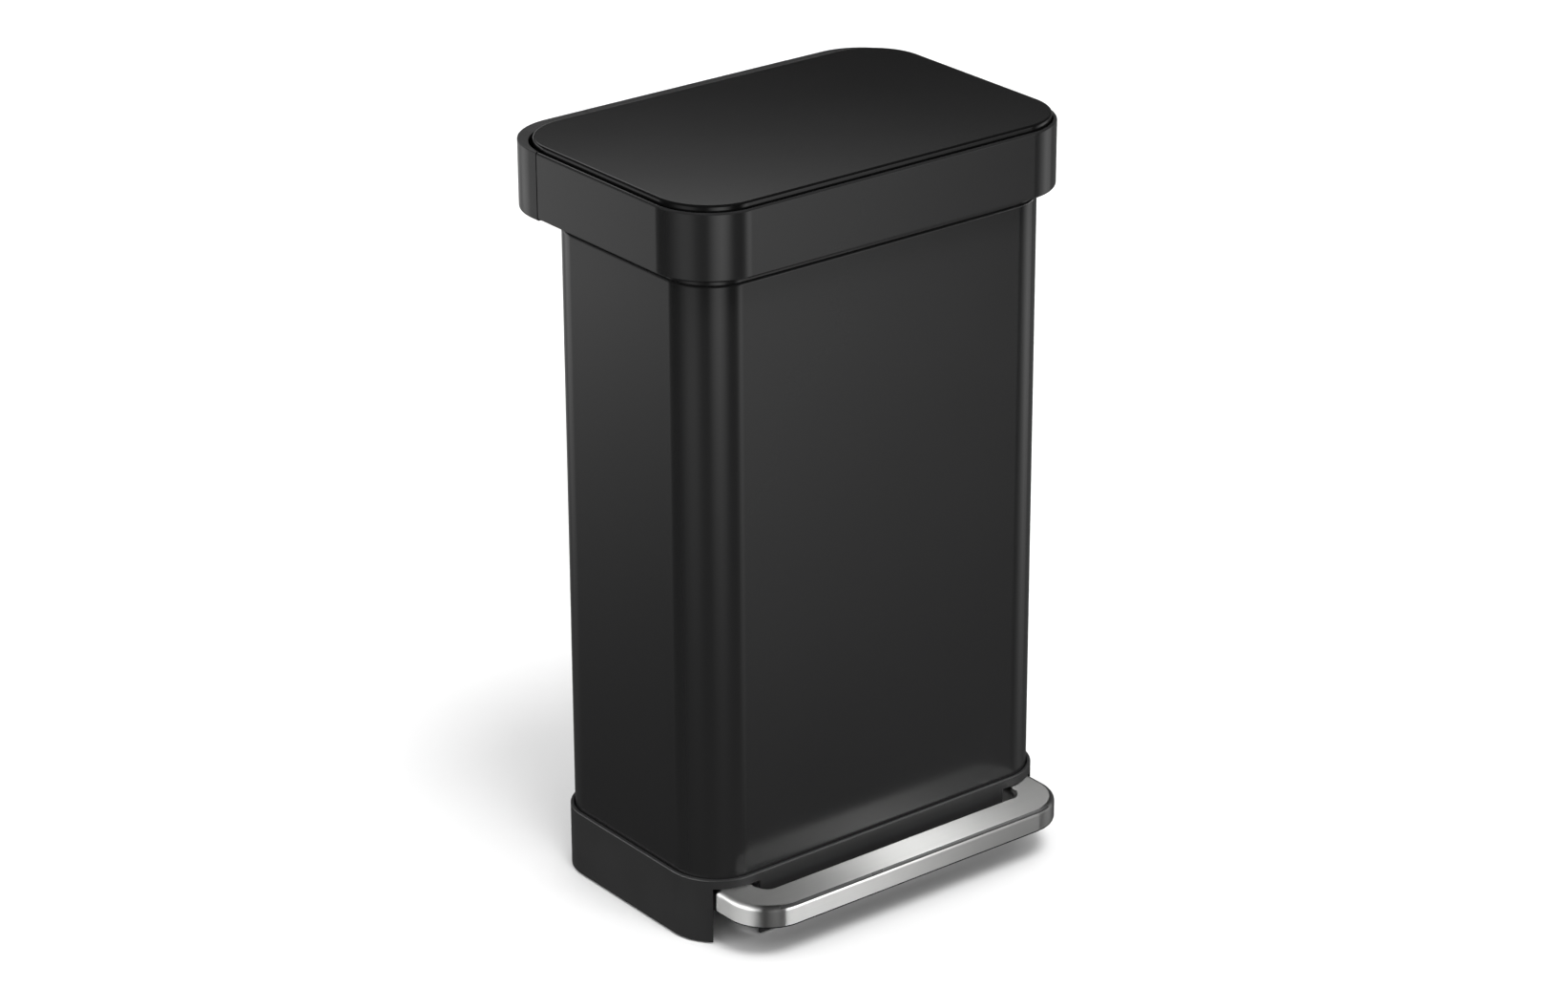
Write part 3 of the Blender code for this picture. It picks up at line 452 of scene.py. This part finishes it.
# Brightness of the studio's soft panels by azimuth in degrees (0 is +X, 90 is +Y).
STUDIO = (
    (8, 0.17), (30, 0.12), (52, 0.70), (72, 0.70), (90, 0.30), (104, 1.15), (122, 1.05),
    (130.5, 0.08), (146, 0.03), (160, 0.08), (184, 0.52), (198, 0.50), (212, 0.14), (227, 0.06),
    (240, 0.90), (252, 1.42), (261, 1.00), (272, 0.06), (284, 0.0), (291.5, 0.06), (299, 1.30),
    (305.5, 1.20), (312, 0.04), (321, 0.06), (332, 0.60), (344, 1.00), (352, 0.60),
)
UPPER_LEVEL = 0.05              # above the panels
UPPER_START = 12                # degrees above the horizon where the panels have faded out
NEAR_LEVEL = 0.07               # of the floor close to the can, in reflections
NEAR_SCALE = (1.23, 0.82)       # makes that patch an oval
NEAR_SPAN = (0.15, 1.65)        # distances between which it fades out
NEAR_SIDES = (-0.15, 0.0)       # x between which its fading changes
NEAR_POWERS = (1.8, 0.85)       # how slowly it fades, on the left and on the right
LID_AWAY = (0.65, 0.76)         # the direction in which the panel above the lid darkens
LID_START = 0.50
LID_LEVEL = 0.665               # of that panel at its start
LID_LEVEL_MOST = 1.2
LID_FALL = -5.2                 # how fast it darkens, per metre
LID_END = (1.3, 1.5)            # where it thins out
GLOW_COVER = 0.1                # share of a see-through light that hides what is behind it


def make_world():
    """A ring of soft upright panels, dim above, which only reflections see."""
    world = bpy.data.worlds.new("studio")
    bpy.context.scene.world = world
    world.use_nodes = True
    tree = world.node_tree
    background = tree.nodes["Background"]
    place = tree.nodes.new("ShaderNodeTexCoord")
    x, y, z = split_xyz(tree, place.outputs["Generated"])
    turns = math_node(tree, "DIVIDE", math_node(tree, "ARCTAN2", y, x), 2 * math.pi)
    panels = tree.nodes.new("ShaderNodeValToRGB")
    tree.links.new(math_node(tree, "FRACT", turns), panels.inputs["Fac"])
    elements = panels.color_ramp.elements
    while len(elements) < len(STUDIO):
        elements.new(0.5)
    for element, (azimuth, level) in zip(elements, STUDIO):
        element.position = azimuth / 360
        element.color = (level, level, level, 1)
    panel_level = split_xyz(tree, panels.outputs["Color"])[0]
    upper = smooth_step(tree, z, 0.0, math.sin(math.radians(UPPER_START)))
    strength = blend_value(tree, panel_level, UPPER_LEVEL, upper)
    tree.links.new(strength, background.inputs["Strength"])
    background.inputs["Color"].default_value = (1, 1, 1, 1)
    world.cycles_visibility.diffuse = False


def make_camera():
    data = bpy.data.cameras.new("camera")
    data.lens = CAMERA_LENS
    data.sensor_width = 36
    data.clip_end = 200
    camera = bpy.data.objects.new("camera", data)
    bpy.context.scene.collection.objects.link(camera)
    forward = Vector(CAMERA_FORWARD).normalized()
    right = forward.cross(Vector(CAMERA_UP)).normalized()
    up = right.cross(forward)
    turn = Matrix((right, up, -forward)).transposed().to_4x4()
    camera.matrix_world = Matrix.Translation(CAMERA_PLACE) @ turn
    bpy.context.scene.camera = camera


def sun_light(name, azimuth, elevation, spread, strength):
    """A soft distant light that gives no highlights, with its angles in degrees."""
    data = bpy.data.lights.new(name, "SUN")
    data.angle = math.radians(spread)
    data.energy = strength
    light = bpy.data.objects.new(name, data)
    bpy.context.scene.collection.objects.link(light)
    azimuth, elevation = math.radians(azimuth), math.radians(elevation)
    source = Vector((math.cos(elevation) * math.cos(azimuth),
                     math.cos(elevation) * math.sin(azimuth), math.sin(elevation)))
    light.rotation_euler = source.to_track_quat("Z", "Y").to_euler()
    light.visible_glossy = False


def stage_plane(name, corners):
    """A flat panel of the stage, which isn't part of the object."""
    mesh = bpy.data.meshes.new(name)
    mesh.from_pydata(corners, [], [(0, 1, 2, 3)])
    plane = bpy.data.objects.new(name, mesh)
    bpy.context.scene.collection.objects.link(plane)
    return plane


def level_plane(name, corner, opposite, z):
    return stage_plane(name, [(corner[0], corner[1], z), (opposite[0], corner[1], z),
                              (opposite[0], opposite[1], z), (corner[0], opposite[1], z)])


def make_floor():
    floor = level_plane("floor", (-40, -40), (40, 40), 0)
    material, _, shader = shader_material("floor", (0.86, 0.86, 0.86), 0.9, 0.0)
    shader.inputs["Specular IOR Level"].default_value = 0.0
    floor.data.materials.append(material)
    floor.visible_glossy = False
    floor.visible_diffuse = False


def reflection_panel(plane, make_nodes):
    """Shows a stage panel in reflections only. make_nodes gives its level and its cover."""
    material = bpy.data.materials.new(plane.name)
    material.use_nodes = True
    tree = material.node_tree
    tree.nodes.remove(tree.nodes["Principled BSDF"])
    place = tree.nodes.new("ShaderNodeNewGeometry")
    level, cover = make_nodes(tree, *split_xyz(tree, place.outputs["Position"]))
    emission = tree.nodes.new("ShaderNodeEmission")
    clear = tree.nodes.new("ShaderNodeBsdfTransparent")
    mix = tree.nodes.new("ShaderNodeMixShader")
    feed(tree, emission.inputs["Strength"], level)
    feed(tree, mix.inputs["Fac"], cover)
    tree.links.new(clear.outputs["BSDF"], mix.inputs[1])
    tree.links.new(emission.outputs["Emission"], mix.inputs[2])
    tree.links.new(mix.outputs["Shader"], tree.nodes["Material Output"].inputs["Surface"])
    plane.data.materials.append(material)
    plane.visible_camera = False
    plane.visible_diffuse = False
    plane.visible_shadow = False
    plane.visible_transmission = False


def near_floor(tree, x, y, z):
    """Dim close to the can and clear further out, so that upright faces darken downwards.

    It clears more slowly to the left of the can than to the right.
    """
    across = square(tree, math_node(tree, "MULTIPLY", x, NEAR_SCALE[0]))
    along = square(tree, math_node(tree, "MULTIPLY", y, NEAR_SCALE[1]))
    distance = math_node(tree, "SQRT", math_node(tree, "ADD", across, along))
    power = smooth_step(tree, x, *NEAR_SIDES, *NEAR_POWERS)
    clear = math_node(tree, "POWER", straight_rise(tree, distance, *NEAR_SPAN), power)
    return NEAR_LEVEL, math_node(tree, "SUBTRACT", 1.0, clear)


def lid_panel(tree, x, y, z):
    """Bright near the can and dark further behind it, so that the lid fades to the back."""
    along = math_node(tree, "ADD", math_node(tree, "MULTIPLY", x, LID_AWAY[0]),
                      math_node(tree, "MULTIPLY", y, LID_AWAY[1]))
    power = math_node(tree, "MULTIPLY", math_node(tree, "SUBTRACT", along, LID_START), LID_FALL)
    level = math_node(tree, "MULTIPLY", math_node(tree, "EXPONENT", power), LID_LEVEL)
    cover = smooth_step(tree, along, *LID_END, 1.0, 0.0)
    return math_node(tree, "MINIMUM", level, LID_LEVEL_MOST), cover


def glow(level, last=1.0, slant=0.0, span=(0.0, 1.0)):
    """A see-through light that shines down only, for what lies below its panel.

    Its level changes to the share last as x + slant * y goes through the span.
    """
    def nodes(tree, x, y, z):
        along = math_node(tree, "ADD", x, math_node(tree, "MULTIPLY", y, slant))
        strength = level / GLOW_COVER
        graded = smooth_step(tree, along, *span, strength, strength * last)
        surface = tree.nodes.new("ShaderNodeNewGeometry")
        below = surface.outputs["Backfacing"]
        return math_node(tree, "MULTIPLY", graded, below), math_node(tree, "MULTIPLY", below, GLOW_COVER)
    return nodes


def make_stage():
    make_camera()
    make_world()
    make_floor()
    # What the upright faces and the lid reflect.
    reflection_panel(level_plane("floor_reflection", (-2, -2), (2, 2), 0.2 * MM), near_floor)
    reflection_panel(level_plane("lid_reflection", (-0.2, 0.33), (1.4, 1.4), 0.95), lid_panel)
    # What the pedal's top and rounded edges reflect. These shine down only, so a camera that
    # looks down doesn't see them in the body's upright faces.
    reflection_panel(level_plane("pedal_key", (0.345, -0.46), (0.455, -0.10), 0.60), glow(9.0))
    reflection_panel(level_plane("pedal_fill", (0.455, -0.46), (0.80, -0.10), 0.60), glow(2.1))
    reflection_panel(level_plane("pedal_front", (-0.10, -1.30), (0.95, -0.45), 0.17),
                     glow(9.3, last=0.03, slant=0.71, span=(-0.24, -0.03)))
    reflection_panel(level_plane("pedal_side", (-1.15, -0.35), (-0.42, 0.75), 0.17), glow(7.0))
    # Even light from all round, and a softer light from above the front for the shadow behind.
    sun_light("dome", 0, 90, 180, 3.3)
    sun_light("key", -90, 66, 24, 1.65)


# ---------------------------------------------------------------- body and base
def body_loop(inset):
    """The body's outline, with the shallow groove of the welded seam behind."""
    low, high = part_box("body_shell")
    loop = box_loop(low, high, BODY_RADII, inset)
    back = high[1] - inset
    groove = [(SEAM / 2, back), (0, back - SEAM_DEPTH), (-SEAM / 2, back)]
    first_corner = CORNER_STEPS + 1
    return loop[:first_corner] + groove + loop[first_corner:]


def make_body():
    low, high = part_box("body_shell")
    turns = [math.radians(NECK_TURN * step / NECK_STEPS) for step in range(NECK_STEPS + 1)]
    neck = [(NECK_RADIUS * (1 - math.cos(turn)), NECK_START + NECK_RADIUS * math.sin(turn))
            for turn in turns]
    top = neck[-1][0]
    inner_neck = [(inset + STEEL_WALL, z) for inset, z in reversed(neck)]
    profile = [(STEEL_EDGE, low[2]), (0, low[2] + STEEL_EDGE)] + neck
    profile += [(top, high[2]), (top + STEEL_WALL, high[2])] + inner_neck + [(STEEL_WALL, low[2])]
    mesh = loft("body_wall", rings(body_loop, profile), shell=True)
    new_piece(mesh, "coated_steel", "can", "black_steel", "body_shell")


def make_base():
    low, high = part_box("base_moulding")
    profile = [(BASE_WALL, low[2]), (0.6 * MM, low[2]), (0, low[2] + 0.6 * MM)]
    profile += round_over(0, high[2], BASE_EDGE)
    profile += [(BASE_WALL - 0.4 * MM, high[2]), (BASE_WALL, high[2] - 0.4 * MM)]
    mesh = loft("base_skirt", rings(lambda inset: box_loop(low, high, BASE_RADII, inset), profile),
                shell=True)
    cutters = []
    for side in (-1, 1):
        x_low, x_high = sorted(side * x for x in NOTCH_SPAN)
        cutters.append(box_cutter((x_low, low[1] - BEYOND, -BEYOND),
                                  (x_high, low[1] + NOTCH_DEPTH, NOTCH_HIGH)))
    new_piece(cut(mesh, cutters), "base_plastic", "can", "black_plastic", "base_moulding")
    loop = box_loop(low, high, BASE_RADII, BASE_WALL - 0.1 * MM)
    deck = loft("base_deck", [[(x, y, z) for x, y in loop] for z in DECK], caps=(True, True))
    foot_low, foot_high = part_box("rod_foot")
    opening = box_cutter((foot_low[0] - FOOT_ROOM, foot_low[1] - FOOT_ROOM, DECK[0] - BEYOND),
                         (foot_high[0] + FOOT_ROOM, foot_high[1] + FOOT_ROOM, DECK[1] + BEYOND))
    new_piece(cut(deck, [opening]), "black_plastic", "can", "black_plastic", "base_moulding")


# ---------------------------------------------------------------- rim
def make_band():
    low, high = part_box("rim_band")
    hem = reversed(round_over(0, low[2], HEM, downward=True))
    profile = [(HEM + BAND_WALL, low[2])] + list(hem) + round_over(0, high[2], RIM_EDGE)
    profile += [(BAND_LIP, high[2] - LIP_DROP), (BAND_LIP, high[2] - LIP_DROP - BAND_WALL),
                (BAND_WALL, high[2] - LIP_DROP - BAND_WALL),
                (BAND_WALL, low[2] + HEM), (HEM + BAND_WALL, low[2] + BAND_WALL)]
    plan = rings(lambda inset: front_path(low, high, RIM_RADIUS, inset), profile)
    mesh = loft("rim_wrap", plan, closed=False, shell=True)
    new_piece(mesh, "coated_steel", "rim", "black_steel", "rim_band")


def make_housing():
    """The hollow back of the rim, with its strip behind the lid and the cover let into it."""
    low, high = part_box("rear_housing")
    start = low[1]
    body_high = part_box("body_shell")[1]

    def outer(inset):
        return back_path(high[0] - inset, start, high[1] - inset, RIM_RADIUS - inset)

    def ring(path, z):
        return [(x, y, z) for x, y in path]

    gap = CLEARANCE
    around_body = back_path(body_high[0] + gap, start, body_high[1] + gap, BODY_RADII[1] + gap)
    around_lid = back_path(high[0] - 3 * MM, start, high[1] - STRIP, LID_RADII[1] + 1.4 * MM)
    hem = reversed(round_over(0, low[2], HEM, downward=True))
    rows = [ring(around_body, low[2])] + rings(outer, list(hem) + round_over(0, high[2], HOUSING_EDGE))
    rows += [ring(around_lid, high[2]), ring(around_lid, high[2] - HOUSING_WALL),
             ring(outer(HOUSING_WALL), high[2] - HOUSING_WALL),
             ring(outer(HOUSING_WALL), low[2] + HOUSING_WALL),
             ring(around_body, low[2] + HOUSING_WALL)]
    mesh = loft("housing_wall", rows, closed=False, shell=True)
    cover_low, cover_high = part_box("hinge_cover")
    seat = box_cutter((cover_low[0] - gap, cover_low[1] - 2 * BEYOND, cover_low[2] - gap),
                      (cover_high[0] + gap, cover_high[1] + gap, high[2] + BEYOND))
    wall = cut(mesh, [seat])
    new_piece(wall, "black_plastic", "can", "black_plastic", "rear_housing")
    # The flat top faces behind the lid get the lighter cover plastic: painted light, making the top of
    # the housing lighter than its sides.
    wall.materials.append(MATERIALS["cover_plastic_and_painted_lit_top"])
    for polygon in wall.polygons:
        behind_lid = polygon.center.y > high[1] - STRIP - 1 * MM
        polygon.material_index = 1 if polygon.normal.z > 0.98 and behind_lid else 0

    def strip(inset):
        return box_loop(cover_low, cover_high, (COVER_CORNER, COVER_CORNER), inset)

    profile = [(0, cover_low[2])] + round_over(0, cover_high[2], COVER_EDGE)
    cover = loft("cover_strip", rings(strip, profile), caps=(True, True))
    new_piece(cover, "cover_plastic_and_painted_lit_top", "can", "black_plastic", "hinge_cover")


# ---------------------------------------------------------------- lid
def make_lid():
    """The lid's sheet, which ends just behind the tray so that the strip behind it shows."""
    low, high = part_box("lid_skin")
    high = (high[0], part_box("lid_tray")[1][1] + 0.3 * MM, high[2])
    profile = [(LID_EDGE, high[2] - SKIN), (SKIN, high[2] - LID_EDGE), (SKIN, low[2]),
               (0.2 * MM, low[2]), (0, low[2] + 0.2 * MM)]
    profile += round_over(0, high[2], LID_EDGE)
    mesh = loft("lid_sheet", rings(lambda inset: box_loop(low, high, LID_RADII, inset), profile),
                caps=(True, True))
    rear = box_cutter((low[0] - BEYOND, LID_REAR_START, low[2] - BEYOND),
                      (high[0] + BEYOND, high[1] + BEYOND, LID_REAR_LOW))
    # The lid's steel is painted darker than the body's, as painted shade against the light on its top.
    new_piece(cut(mesh, [rear]), "lid_steel_painted_darker", "lid", "black_steel", "lid_skin")


# ---------------------------------------------------------------- pedal
def make_pedal():
    low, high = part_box("pedal_cover")
    profile = [(0, low[2])] + round_over(0, high[2], PEDAL_EDGE)
    inner = [(PEDAL_EDGE, high[2] - SKIN), (SKIN, high[2] - PEDAL_EDGE), (SKIN, low[2])]
    mesh = loft("pedal_plate", rings(lambda inset: pedal_loop(inset, high[1]), inner + profile),
                caps=(True, True))
    new_piece(mesh, "brushed_steel", "pedal", "brushed_steel", "pedal_cover")
    mesh.materials.append(MATERIALS["polished_steel"])
    mesh.materials.append(MATERIALS["painted_dark_reflection_edge"])
    brushed, polished, dark = range(3)
    for polygon in mesh.polygons:
        x, y, z = polygon.normal
        on_top = z > 0.98
        # The rounding along the front is steel like the rest, but gets the near-black material: a
        # painted dark reflection along the edge.
        front_edge = y < 0 and abs(x) < 0.4 * abs(y) and z > 0.4
        polygon.material_index = brushed if on_top else dark if front_edge else polished


# ---------------------------------------------------------------- bucket
def make_bucket():
    """A tapered tub with a rolled edge, from its floor's underside up its side and down inside."""
    low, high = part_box("inner_bucket")
    corner = BUCKET_RADIUS + BUCKET_LIP
    middle_y = (low[1] + high[1]) / 2

    def ring(inset, z):
        share = (z - low[2]) / (high[2] - low[2])
        scale = BUCKET_TAPER + (1 - BUCKET_TAPER) * share
        loop = box_loop((low[0], low[1] - middle_y), (high[0], high[1] - middle_y),
                        (corner, corner), inset)
        return [(x * scale, y * scale + middle_y, z) for x, y in loop]

    side = BUCKET_LIP
    inside = side + BUCKET_WALL
    foot = reversed(round_over(side, low[2], BUCKET_FOOT, downward=True))
    lip = [(side, high[2] - 3 * MM), (0.3 * MM, high[2] - BUCKET_WALL), (0, high[2] - BUCKET_WALL / 2),
           (0.4 * MM, high[2]), (inside - 0.5 * MM, high[2]), (inside, high[2] - 0.5 * MM)]
    floor = [(inside, low[2] + BUCKET_FOOT), (inside + BUCKET_FOOT, low[2] + BUCKET_WALL)]
    rows = [ring(inset, z) for inset, z in [*foot, *lip, *floor]]
    mesh = loft("bucket_tub", rows, caps=(True, True))
    new_piece(mesh, "bucket_plastic", "can", "grey_plastic", "inner_bucket")


# ---------------------------------------------------------------- CAD nodes shown as they are
def dress_nodes():
    finish = {"black_steel": "coated_steel", "grey_plastic": "bucket_plastic"}
    for row in frame["record"]["subparts"]:
        node = frame["nodes"][row["node"]]
        name = row["material_slot"]
        for slot in node.material_slots:
            slot.material = MATERIALS[finish.get(name, name)]


make_stage()
MATERIALS = make_materials()
make_body()
make_base()
make_band()
make_housing()
make_lid()
make_pedal()
make_bucket()
dress_nodes()
bpy.context.scene.view_settings.view_transform = "Standard"
